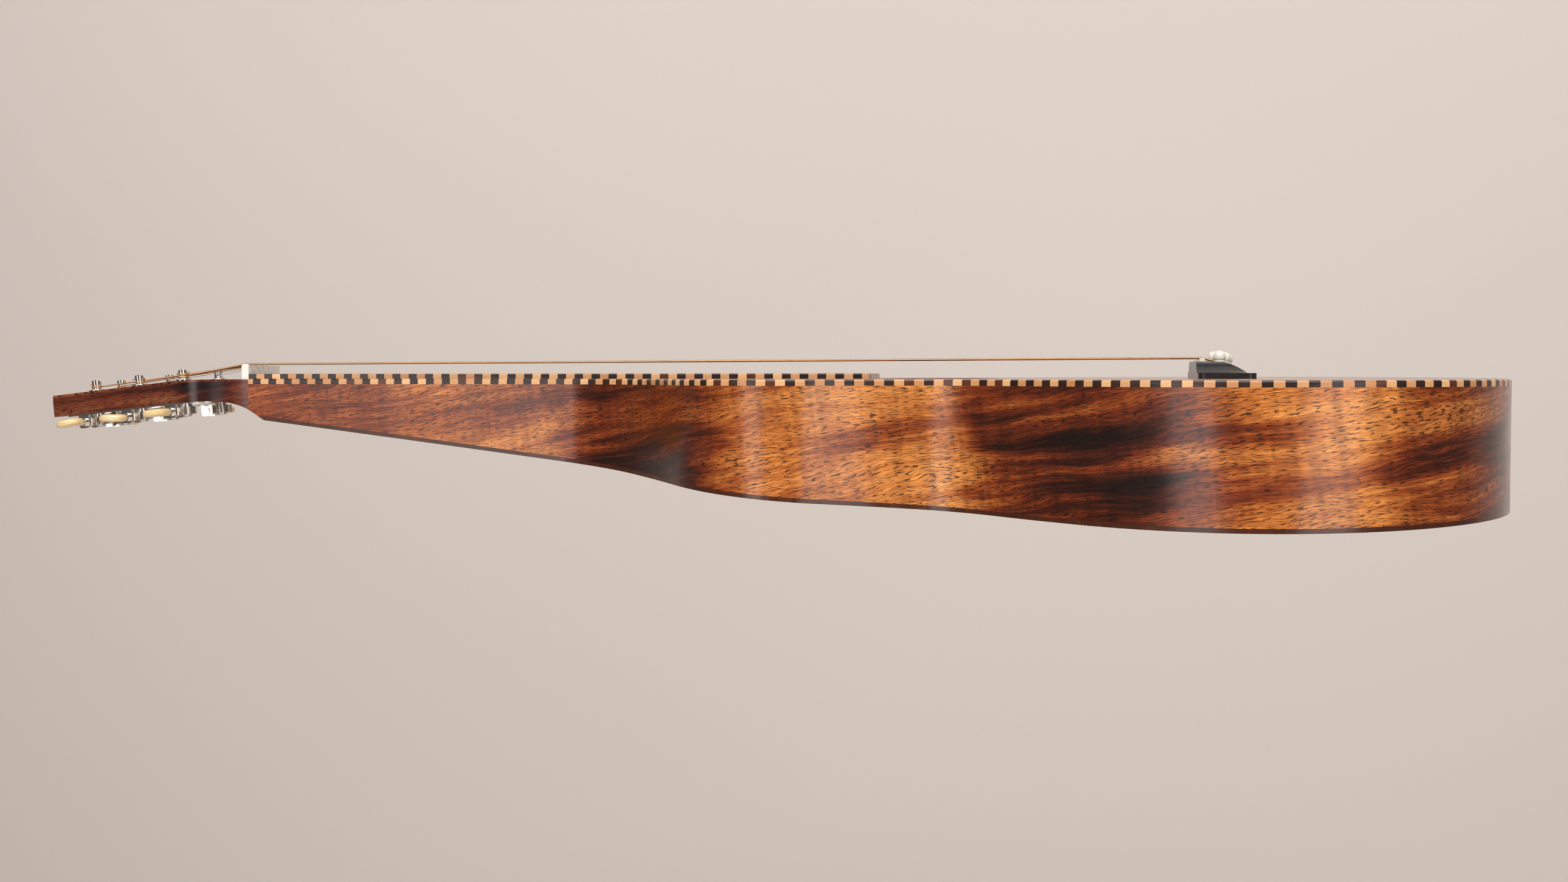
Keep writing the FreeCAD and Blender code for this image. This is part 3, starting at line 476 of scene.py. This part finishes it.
def board_rim():
    """Treble half of the soundboard's outer edge, from the nut to the tail, in the top plane."""
    mesh = nodes["soundboard"].data
    low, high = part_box("soundboard")
    hole_low, hole_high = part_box("rosette")
    bridge_low, bridge_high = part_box("bridge")
    found = {}
    for vertex in mesh.vertices:
        p = vertex.co
        if p.z < high.z - 1e-5 or p.y < -1e-6:
            continue
        over_hole = hole_low.x - 0.002 < p.x < hole_high.x + 0.002 and p.y < hole_high.y + 0.002
        under_bridge = bridge_low.x < p.x < bridge_high.x and p.y < bridge_high.y
        at_nut = p.x < low.x + 1e-5 and p.y < 0.015
        if not (over_hole or under_bridge or at_nut):
            found[(round(p.x, 6), round(p.y, 6))] = (p.x, p.y)
    points = sorted(found.values(), key=lambda q: (round(q[0], 5), -q[1]))
    return np.array(points)


def run_length(points):
    """Distance of each point from the first one, along the points."""
    return np.concatenate([[0], np.cumsum(np.linalg.norm(np.diff(points, axis=0), axis=1))])


def smooth_path(points, step, end_tangents=(None, None)):
    """Even points, unit tangents and length along a smooth curve through points."""
    points = np.asarray(points, float)
    gaps = np.linalg.norm(np.diff(points, axis=0), axis=1)
    slopes = np.diff(points, axis=0) / gaps[:, None]
    tangent = np.zeros_like(points)
    weight = gaps[:-1] / (gaps[:-1] + gaps[1:])
    tangent[1:-1] = slopes[:-1] * (1 - weight)[:, None] + slopes[1:] * weight[:, None]
    tangent[0] = 2 * slopes[0] - tangent[1] if end_tangents[0] is None else end_tangents[0]
    tangent[-1] = 2 * slopes[-1] - tangent[-2] if end_tangents[1] is None else end_tangents[1]
    dense = []
    for i, gap in enumerate(gaps):
        t = np.linspace(0, 1, max(3, int(gap / 0.0004)), endpoint=False)[:, None]
        a = 2 * t ** 3 - 3 * t ** 2 + 1
        b = t ** 3 - 2 * t ** 2 + t
        c = -2 * t ** 3 + 3 * t ** 2
        d = t ** 3 - t ** 2
        dense.append(a * points[i] + b * gap * tangent[i] + c * points[i + 1] + d * gap * tangent[i + 1])
    dense = np.vstack(dense + [points[-1:]])
    length = run_length(dense)
    count = max(2, int(round(length[-1] / step)))
    places = np.linspace(0, length[-1], count + 1)
    even = np.column_stack([np.interp(places, length, dense[:, k]) for k in range(dense.shape[1])])
    direction = np.gradient(even, places, axis=0)
    direction /= np.linalg.norm(direction, axis=1)[:, None]
    return even, direction, places


def body_rim(step):
    """The body's outer edge on the treble half: points, tangents and distance from the nut."""
    even, direction, places = smooth_path(board_rim(), step, (None, np.array([0.0, -1.0])))
    outward = np.column_stack([-direction[:, 1], direction[:, 0]])
    even = even + outward * SIDE_WALL
    even[0, 0] = NUT_X
    even[-1] = (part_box("bass_side")[1].x, 0.0)
    places = run_length(even)
    return even, outward, places


def back_line():
    """Height of the sides' lower edge against X, read from the bass side."""
    mesh = nodes["bass_side"].data
    low_at = {}
    for vertex in mesh.vertices:
        key = round(vertex.co.x, 4)
        low_at[key] = min(low_at.get(key, 9.0), vertex.co.z)
    keys = sorted(low_at)
    top_only = (cad_low.z + TOP_Z) * 0.9        # a column with nothing below this has only its top edge
    xs = [k for k in keys if low_at[k] < top_only]
    return np.array(xs), np.array([low_at[k] for k in xs])


# ---------------------------------------------------------------- mesh helpers

def new_object(name, vertices, faces, material, body, uvs=None, creases=30.0):
    """A piece of the scene's own that rides a body; edges over creases degrees stay sharp."""
    mesh = bpy.data.meshes.new(name)
    mesh.from_pydata([tuple(v) for v in vertices], [], faces)
    mesh.update()
    if uvs is not None:
        layer = mesh.uv_layers.new(name="UVMap")
        for loop in mesh.loops:
            layer.data[loop.index].uv = uvs[loop.vertex_index]
    item = bpy.data.objects.new(name, mesh)
    scene.collection.objects.link(item)
    mesh.materials.append(material)
    mesh.shade_smooth()
    mesh.set_sharp_from_angle(angle=math.radians(creases))
    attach(item, body)
    return item


def ring_faces(base, rings, size):
    """Quads between neighbouring rings of size points each, from the point numbered base on."""
    faces = []
    for ring in range(rings - 1):
        for k in range(size):
            a = base + ring * size + k
            b = base + ring * size + (k + 1) % size
            faces.append((a, b, b + size, a + size))
    return faces


def assign(names, material):
    """Give each of the CAD nodes named one material."""
    for name in names:
        mesh = nodes[name].data
        mesh.materials.clear()
        mesh.materials.append(material)


# ---------------------------------------------------------------- sides and rope binding

def build_sides():
    """Bass and treble sides: smooth bent shells from the binding down to the back."""
    rim, outward, places = body_rim(0.002)
    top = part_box("bass_side")[1].z
    xs, zs = back_line()
    rows = 14
    for side, name in ((BASS, "bass_side"), (TREBLE, "treble_side")):
        vertices, uvs = [], []
        for (x, y), (nx, ny), s in zip(rim, outward, places):
            low = float(np.interp(x, xs, zs))
            ring = []
            for k in range(rows + 1):
                z = low + (top - low) * k / rows
                ring.append((x, y * side, z, s, z))
            inner_x, inner_y = x - nx * SIDE_WALL, max(0.0, y - ny * SIDE_WALL)
            for k in range(rows, -1, -1):
                z = low + (top - low) * k / rows
                ring.append((inner_x, inner_y * side, z, s, z + 0.2))
            vertices += [v[:3] for v in ring]
            uvs += [(side * v[3], v[4]) for v in ring]
        count = 2 * (rows + 1)
        faces = [quad if side == TREBLE else quad[::-1] for quad in ring_faces(0, len(rim), count)]
        first = tuple(range(count))
        last = tuple(range((len(rim) - 1) * count, len(rim) * count))
        faces += [first[::-1], last] if side == TREBLE else [first, last[::-1]]
        item = new_object("side_" + ("bass" if side == BASS else "treble"), vertices, faces,
                          SIDE_KOA, "body", uvs)
        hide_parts(name)


def rope_blocks(name, path, width, low, high, edge, body, node, closed_round=False, first_dark=True,
                lead=BLOCK):
    """Two meshes of alternating light and dark blocks along a path; the outer top edge is rounded.

    path gives points, outward unit vectors and distances; width is measured inwards from it.
    """
    points, outward, places = path
    total = places[-1]
    count = max(2, int(round(total / BLOCK)))
    if closed_round:
        count += count % 2
        joints = [total * block / count for block in range(count + 1)]
    else:
        joints = [0.0] + list(np.arange(lead, total - 0.3 * BLOCK, BLOCK)) + [total]
    turns = [math.radians(a) for a in (90, 60, 30, 0)]
    section = [(0.0, low)] + [(-edge + edge * math.sin(t), high - edge + edge * math.cos(t)) for t in turns]
    section += [(-width, high), (-width, low)]
    made = {"light": ([], [], []), "dark": ([], [], [])}
    for block, (start, stop) in enumerate(zip(joints, joints[1:])):
        kind = "dark" if (block % 2 == 0) == first_dark else "light"
        vertices, faces, tones = made[kind]
        tone = random.random()
        base = len(vertices)
        for k in range(BLOCK_STEPS + 1):
            s = start + (stop - start) * k / BLOCK_STEPS
            p = [np.interp(s, places, points[:, j]) for j in (0, 1)]
            n = np.array([np.interp(s, places, outward[:, j]) for j in (0, 1)])
            n /= np.linalg.norm(n)
            for out, z in section:
                vertices.append((p[0] + n[0] * out, p[1] + n[1] * out, z))
                tones.append(tone)
        size = len(section)
        for k in range(BLOCK_STEPS):
            for j in range(size):
                a, b = base + k * size + j, base + k * size + (j + 1) % size
                faces.append((a, a + size, b + size, b))
        faces.append(tuple(base + j for j in range(size)))
        faces.append(tuple(base + BLOCK_STEPS * size + j for j in reversed(range(size))))
    pieces = []
    for kind, (vertices, faces, tones) in made.items():
        item = new_object("%s_%s" % (name, kind), vertices, faces,
                          ROPE_LIGHT if kind == "light" else ROPE_DARK, body, creases=50)
        colours = item.data.color_attributes.new("tone", "FLOAT_COLOR", "POINT")
        colours.data.foreach_set("color", [c for t in tones for c in (t, t, t, 1.0)])
        close_shell(item)
        pieces.append(item)
    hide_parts(node)
    return pieces


def close_shell(item, join=0.0):
    """Point every face outwards, after joining points that are nearer than join."""
    work = bmesh.new()
    work.from_mesh(item.data)
    if join:
        bmesh.ops.remove_doubles(work, verts=work.verts, dist=join)
    bmesh.ops.recalc_face_normals(work, faces=work.faces)
    work.to_mesh(item.data)
    work.free()


def build_ropes():
    """Rope binding round the whole body, round the fretboard and round the soundhole."""
    rim, outward, places = body_rim(0.0005)
    low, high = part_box("body_binding")[0].z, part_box("body_binding")[1].z
    whole = np.vstack([rim * (1, -1), rim[::-1][1:]])
    normals = np.vstack([outward * (1, -1), outward[::-1][1:]])
    lengths = run_length(whole)
    rope_blocks("rope_body", (whole, normals, lengths), SIDE_WALL, low, high, ROPE_EDGE, "body",
                "body_binding", first_dark=False, lead=0.62 * BLOCK)
    build_board_rope()
    build_rosette()


def build_board_rope():
    """Rope round the fretboard's two long sides and its rounded soundhole end."""
    low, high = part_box("fretboard_binding")
    width = high.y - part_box("fretboard")[1].y
    start_half = board_half_at_nut()
    corner = BOARD_CORNER
    end_half, end_x = high.y, high.x
    taper = (end_half - start_half) / (end_x - low.x)
    points = [(low.x, -start_half)]
    for t in np.linspace(0, 1, 60)[1:]:
        x = low.x + (end_x - corner - low.x) * t
        points.append((x, -(start_half + taper * (x - low.x))))
    centre = (end_x - corner, end_half - corner)
    for a in np.linspace(-90, 0, 14)[1:]:
        points.append((centre[0] + corner * math.cos(math.radians(a)),
                       -centre[1] + corner * math.sin(math.radians(a))))
    across = np.linspace(-centre[1], centre[1], 24)[1:]
    points += [(end_x, y) for y in across]
    mirrored = [(x, -y) for x, y in points if y <= 0][::-1]
    points = points + [p for p in mirrored if p[0] < end_x - 1e-7]
    points = np.array(points)
    lengths = run_length(points)
    direction = np.gradient(points, lengths, axis=0)
    direction /= np.linalg.norm(direction, axis=1)[:, None]
    outward = np.column_stack([direction[:, 1], -direction[:, 0]])
    rope_blocks("rope_board", (points, outward, lengths), width, low.z, high.z, BOARD_ROPE_EDGE,
                "body", "fretboard_binding")


def board_half_at_nut():
    """Half the width of the bound fretboard at the nut."""
    mesh = nodes["fretboard_binding"].data
    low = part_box("fretboard_binding")[0].x
    return max(abs(v.co.y) for v in mesh.vertices if v.co.x < low + 1e-4)


def build_rosette():
    """Ring of rope blocks round the soundhole."""
    low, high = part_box("rosette")
    centre = ((low.x + high.x) / 2, 0.0)
    outer = (high.x - low.x) / 2
    width = ring_width("rosette", centre, outer)
    angles = np.linspace(0, 2 * math.pi, 400)
    outward = np.column_stack([np.cos(angles), np.sin(angles)])
    points = outward * outer + np.array(centre)
    rope_blocks("rope_rosette", (points, outward, angles * outer), width, low.z, high.z, ROSETTE_EDGE,
                "body", "rosette", closed_round=True)


def ring_width(node, centre, outer):
    """Width of a flat ring, from its own inner edge out to outer."""
    inner = min(math.hypot(v.co.x - centre[0], v.co.y - centre[1]) for v in nodes[node].data.vertices)
    return outer - inner


# ---------------------------------------------------------------- string coils and buttons

def joint_named(name):
    """The record's joint of that name."""
    return next(j for j in frame["record"]["behaviour"]["joints"] if j["name"] == name)


def wire_tube(points, radius, sides=12):
    """A round wire along points, with closed ends."""
    points = np.asarray(points, float)
    forward = np.gradient(points, axis=0)
    forward /= np.linalg.norm(forward, axis=1)[:, None]
    normal = np.cross(forward[0], (0.31, 0.52, 0.79))
    lengths = run_length(points)
    vertices, uvs = [], []
    for i, (point, way) in enumerate(zip(points, forward)):
        normal = normal - way * np.dot(normal, way)
        normal /= np.linalg.norm(normal)
        other = np.cross(way, normal)
        for k in range(sides):
            angle = 2 * math.pi * k / sides
            vertices.append(point + radius * (normal * math.cos(angle) + other * math.sin(angle)))
            uvs.append((lengths[i], k / sides))
    last = (len(points) - 1) * sides
    faces = ring_faces(0, len(points), sides)
    faces.append(tuple(range(sides))[::-1])
    faces.append(tuple(range(last, last + sides)))
    return vertices, faces, uvs


def smooth_points(points, rounds=2):
    """Points with their small kinks worn off; the two ends stay."""
    points = np.array(points)
    for _ in range(rounds):
        points[1:-1] = 0.25 * points[:-2] + 0.5 * points[1:-1] + 0.25 * points[2:]
    return points


def coil_path(centre, low, high, start, turns, spin, hole_z):
    """The coils, the rise to the cross hole and the run through it, in the axes of the post."""
    points = []
    steps = int(COIL_STEPS * turns)
    for k in range(steps + 1):
        turn = 2 * math.pi * turns * k / steps
        angle = start + spin * turn
        points.append((centre * math.cos(angle), centre * math.sin(angle), low + (high - low) * k / steps))
    end = start + spin * 2 * math.pi * turns
    rest = -end * spin % math.pi                # the cross hole lies along angle 0
    if rest < SHORTEST_RISE:
        rest += math.pi
    for k in range(1, RISE_STEPS + 1):
        t = k / RISE_STEPS
        eased = t * t * (3 - 2 * t)
        angle = end + spin * rest * t
        out = centre + 0.1 * MM * math.sin(math.pi * t)
        points.append((out * math.cos(angle), out * math.sin(angle), high + (hole_z - high) * eased))
    angle = end + spin * rest
    way = np.array([math.cos(angle), math.sin(angle)])
    for out in (0.82, 0.5, 0.2, -0.2, -0.6, -1.0, -1.3):
        points.append((way[0] * centre * out, way[1] * centre * out, hole_z))
    cut = centre + CUT_END
    points.append((-way[0] * cut, -way[1] * cut, hole_z + CUT_LIFT))
    return smooth_points(points)


def build_winding(number):
    """The string's coils round one post, its rise to the cross hole and the cut end beyond."""
    joint = joint_named("post_%d_turn" % number)
    origin = np.array(joint["pos_m"])
    axis = np.array(joint["axis"])
    first = np.cross((0.0, 1.0, 0.0), axis)
    first /= np.linalg.norm(first)
    second = np.cross(axis, first)

    def local(vertex):
        gap = np.array(vertex.co) - origin
        return np.array([gap @ first, gap @ second, gap @ axis])

    rings = np.array([local(v) for v in nodes["winding_%d" % number].data.vertices])
    reach = np.hypot(rings[:, 0], rings[:, 1])
    radius = (reach.max() - reach.min()) / 2
    centre = (reach.max() + reach.min()) / 2
    low, high = rings[:, 2].min() + radius, rings[:, 2].max() - radius
    post = np.array([local(v) for v in nodes["post_%d" % number].data.vertices])
    post_top = post[:, 2].max()
    strings = nodes["wound_strings" if number >= 3 else "plain_strings"].data
    near = np.array([local(v) for v in strings.vertices])
    spread = np.hypot(near[:, 0], near[:, 1])
    touching = near[spread < centre * 1.6]
    arrival = touching.mean(axis=0) if len(touching) else np.array([centre, 0, low])
    turns = max(1.0, (high - low) / (COIL_PITCH * radius))
    spin = 1 if number <= 3 else -1
    wound = turns * (arrival[2] - low) / max(high - low, 1e-6)
    start = math.atan2(arrival[1], arrival[0]) - spin * 2 * math.pi * wound
    points = coil_path(centre, low, high, start, turns, spin, post_top - CROSS_HOLE_DROP)
    placed = [origin + p[0] * first + p[1] * second + p[2] * axis for p in points]
    vertices, faces, uvs = wire_tube(placed, radius * 0.97)
    material, slot = (COIL_BRONZE, "bronze_string") if number >= 3 else (COIL_STEEL, "steel_string")
    item = new_object("coil_%d" % number, vertices, faces, material, "post_%d" % number, uvs, 60)
    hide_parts("winding_%d" % number)


def build_button(number):
    """Cream oval button with blunt ends, a dished face on each side and its short neck."""
    joint = joint_named("key_%d_turn" % number)
    origin = np.array(joint["pos_m"])
    axis = np.array(joint["axis"])
    cad = np.array([v.co[:] for v in nodes["button_%d" % number].data.vertices]) - origin
    if (cad @ axis).mean() < 0:
        axis = -axis
    flat = cad - np.outer(cad @ axis, axis)
    values, vectors = np.linalg.eigh(flat.T @ flat)
    thin, wide = vectors[:, 1], vectors[:, 2]
    reach = cad @ axis
    half_wide = np.abs(cad @ wide).max()
    half_thin = np.abs(cad @ thin).max()
    neck_start, tip = reach.min(), reach.max()
    neck = np.hypot(cad @ wide, cad @ thin)[reach < neck_start + 0.2 * MM].max()
    oval_start = neck_start + BUTTON_NECK
    middle, half_long = (tip + oval_start) / 2, (tip - oval_start) / 2
    rings, sectors = 14, 48
    vertices = []
    for face in (1, -1):
        for ring in range(rings + 1):
            bend = ring / rings * math.pi / 2
            out, rise = math.sin(bend) ** 0.75, math.cos(bend) ** 0.62
            dish = 1.0 - DISH_DEPTH * math.exp(-(out / DISH_REACH) ** 2)
            for k in range(sectors):
                a = 2 * math.pi * k / sectors
                c, d = math.cos(a), math.sin(a)
                blunt = (abs(c) ** OVAL_POWER + abs(d) ** OVAL_POWER) ** (-1 / OVAL_POWER)
                place = (middle + half_long * out * blunt * c) * axis + half_wide * out * blunt * d * wide
                vertices.append(origin + place + face * half_thin * rise * dish * thin)
    size = (rings + 1) * sectors
    faces = ring_faces(0, rings + 1, sectors) + ring_faces(size, rings + 1, sectors)
    base = len(vertices)
    necks = [(neck_start, neck * 0.96), (neck_start + 0.3 * MM, neck), (oval_start, neck),
             (middle, neck * 0.7)]
    for at, round_radius in necks:
        for k in range(NECK_SIDES):
            a = 2 * math.pi * k / NECK_SIDES
            vertices.append(origin + at * axis + round_radius * (math.cos(a) * wide + math.sin(a) * thin))
    last = base + NECK_SIDES * (len(necks) - 1)
    faces += ring_faces(base, len(necks), NECK_SIDES)
    faces.append(tuple(range(base, base + NECK_SIDES)))
    faces.append(tuple(range(last, last + NECK_SIDES)))
    item = new_object("oval_%d" % number, vertices, faces, IVOROID, "key_%d" % number, creases=40)
    close_shell(item, 0.002 * MM)
    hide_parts("button_%d" % number)


# ---------------------------------------------------------------- put it together

make_camera()
make_stage()

# Tone along the sides, nut to tail: partly the wood's own tone and partly painted light, with lighter
# stretches for lamp reflections and darker stretches for shade where the sides turn from the light.
SIDE_TONE_AND_LIGHT_ZONES = [(0.0, -0.01), (0.11, 0.0), (0.14, 0.03), (0.27, 0.03), (0.30, -0.07), (0.42, -0.065),
              (0.45, 0.045), (0.50, 0.07), (0.60, 0.08), (0.63, -0.045), (0.735, -0.065), (0.77, 0.035),
              (0.81, 0.07), (0.87, 0.105), (0.91, 0.0), (1.0, -0.01)]
SIDE_PATCHES = [(0.560, -0.052, 0.060, 0.024, -0.10), (0.300, -0.058, 0.050, 0.016, -0.04),
                (0.650, -0.028, 0.045, 0.009, -0.13), (0.790, -0.034, 0.060, 0.010, -0.08)]
SIDE_KOA = koa("koa_side", "uv", zones=SIDE_TONE_AND_LIGHT_ZONES, patches=SIDE_PATCHES, slope=-8.0)
TOP_KOA = koa("koa_top", across="y", folded=True, slope=2.0)
BACK_KOA = koa("koa_back", across="y", folded=True, slope=-4.0, depth=0.92, dark_edge=True)
# The head's one patch is painted reflection: it darkens the head's side where it flares out near the nut,
# painting the dark sheen seen there.
HEAD_KOA = koa("koa_head", slope=12.0, depth=0.50, red=0.25, gloss=0.2,
               patches=[(-0.030, -0.012, 0.020, 0.012, -0.16)])
VENEER_KOA = koa("koa_veneer", across="y", slope=2.0, depth=0.46, red=0.3)
ROPE_LIGHT = rope_block("rope_light", (0.50, 0.22, 0.085), (0.76, 0.44, 0.21))
ROPE_DARK = rope_block("rope_dark", (0.016, 0.006, 0.005), (0.048, 0.017, 0.010),
                       ((0.060, 0.015, 0.006), (0.12, 0.034, 0.013)))

build_sides()
build_ropes()

assign(["soundboard"], TOP_KOA)
assign(["back"], BACK_KOA)
assign(["headstock"], HEAD_KOA)
assign(["head_veneer"], VENEER_KOA)
assign(["neck_block", "tail_block"],
       plain_wood("mahogany", (0.20, 0.075, 0.035), (0.36, 0.16, 0.08), pores=0.5))
assign(["top_linings", "back_linings"], plain_wood("lining_wood", (0.42, 0.26, 0.13), (0.62, 0.43, 0.24)))
assign(["x_braces", "cross_braces", "back_braces", "bridge_plate"],
       plain_wood("spruce", (0.60, 0.42, 0.22), (0.82, 0.66, 0.42), (6.0, 420.0, 420.0), 0.6))
assign(["fretboard"],
       plain_wood("rosewood", (0.020, 0.009, 0.006), (0.085, 0.035, 0.020), (9, 500, 500), 0.42, 0.1, 0.8))
assign(["bridge"],
       plain_wood("ebony", (0.006, 0.005, 0.005), (0.022, 0.019, 0.019), (60, 12, 500), 0.32, 0.25))
assign(["nut", "saddle"], bone("bone", (0.88, 0.82, 0.74), glow=0.02))
assign(["bridge_pins"], bone("pin_bone", (0.86, 0.80, 0.70), (200, 200, 1500), 0.1))
assign(["frets"], metal("fret_metal", (0.78, 0.75, 0.68), 0.16, 0.4, (3000, 200, 200)))
assign(["position_markers"], pearl("pearl"))
assign(["wound_strings"], wound_wire("bronze_string", (0.66, 0.37, 0.18), 2600))
assign(["plain_strings"], metal("steel_string", (0.72, 0.71, 0.70), 0.18, 0.3, (60, 4000, 4000)))
NICKEL = metal("nickel", (0.78, 0.735, 0.68), 0.10)
assign(["bass_tuner_plate", "treble_tuner_plate", "plate_screws", "post_bushings"], NICKEL)
GEAR_NICKEL = metal("gear_nickel", (0.70, 0.65, 0.59), 0.18, 0.5, (900, 900, 900))
IVOROID = celluloid("ivoroid")
COIL_BRONZE = wound_wire("coil_bronze", (0.78, 0.50, 0.27), 2600, True)
COIL_STEEL = metal("coil_steel", (0.72, 0.71, 0.70), 0.2, 0.3, (900, 900, 900))
for number in range(1, 7):
    assign(["post_%d" % number, "worm_%d" % number], NICKEL)
    assign(["gear_%d" % number], GEAR_NICKEL)
    assign(["button_%d" % number], IVOROID)
    build_winding(number)
    build_button(number)
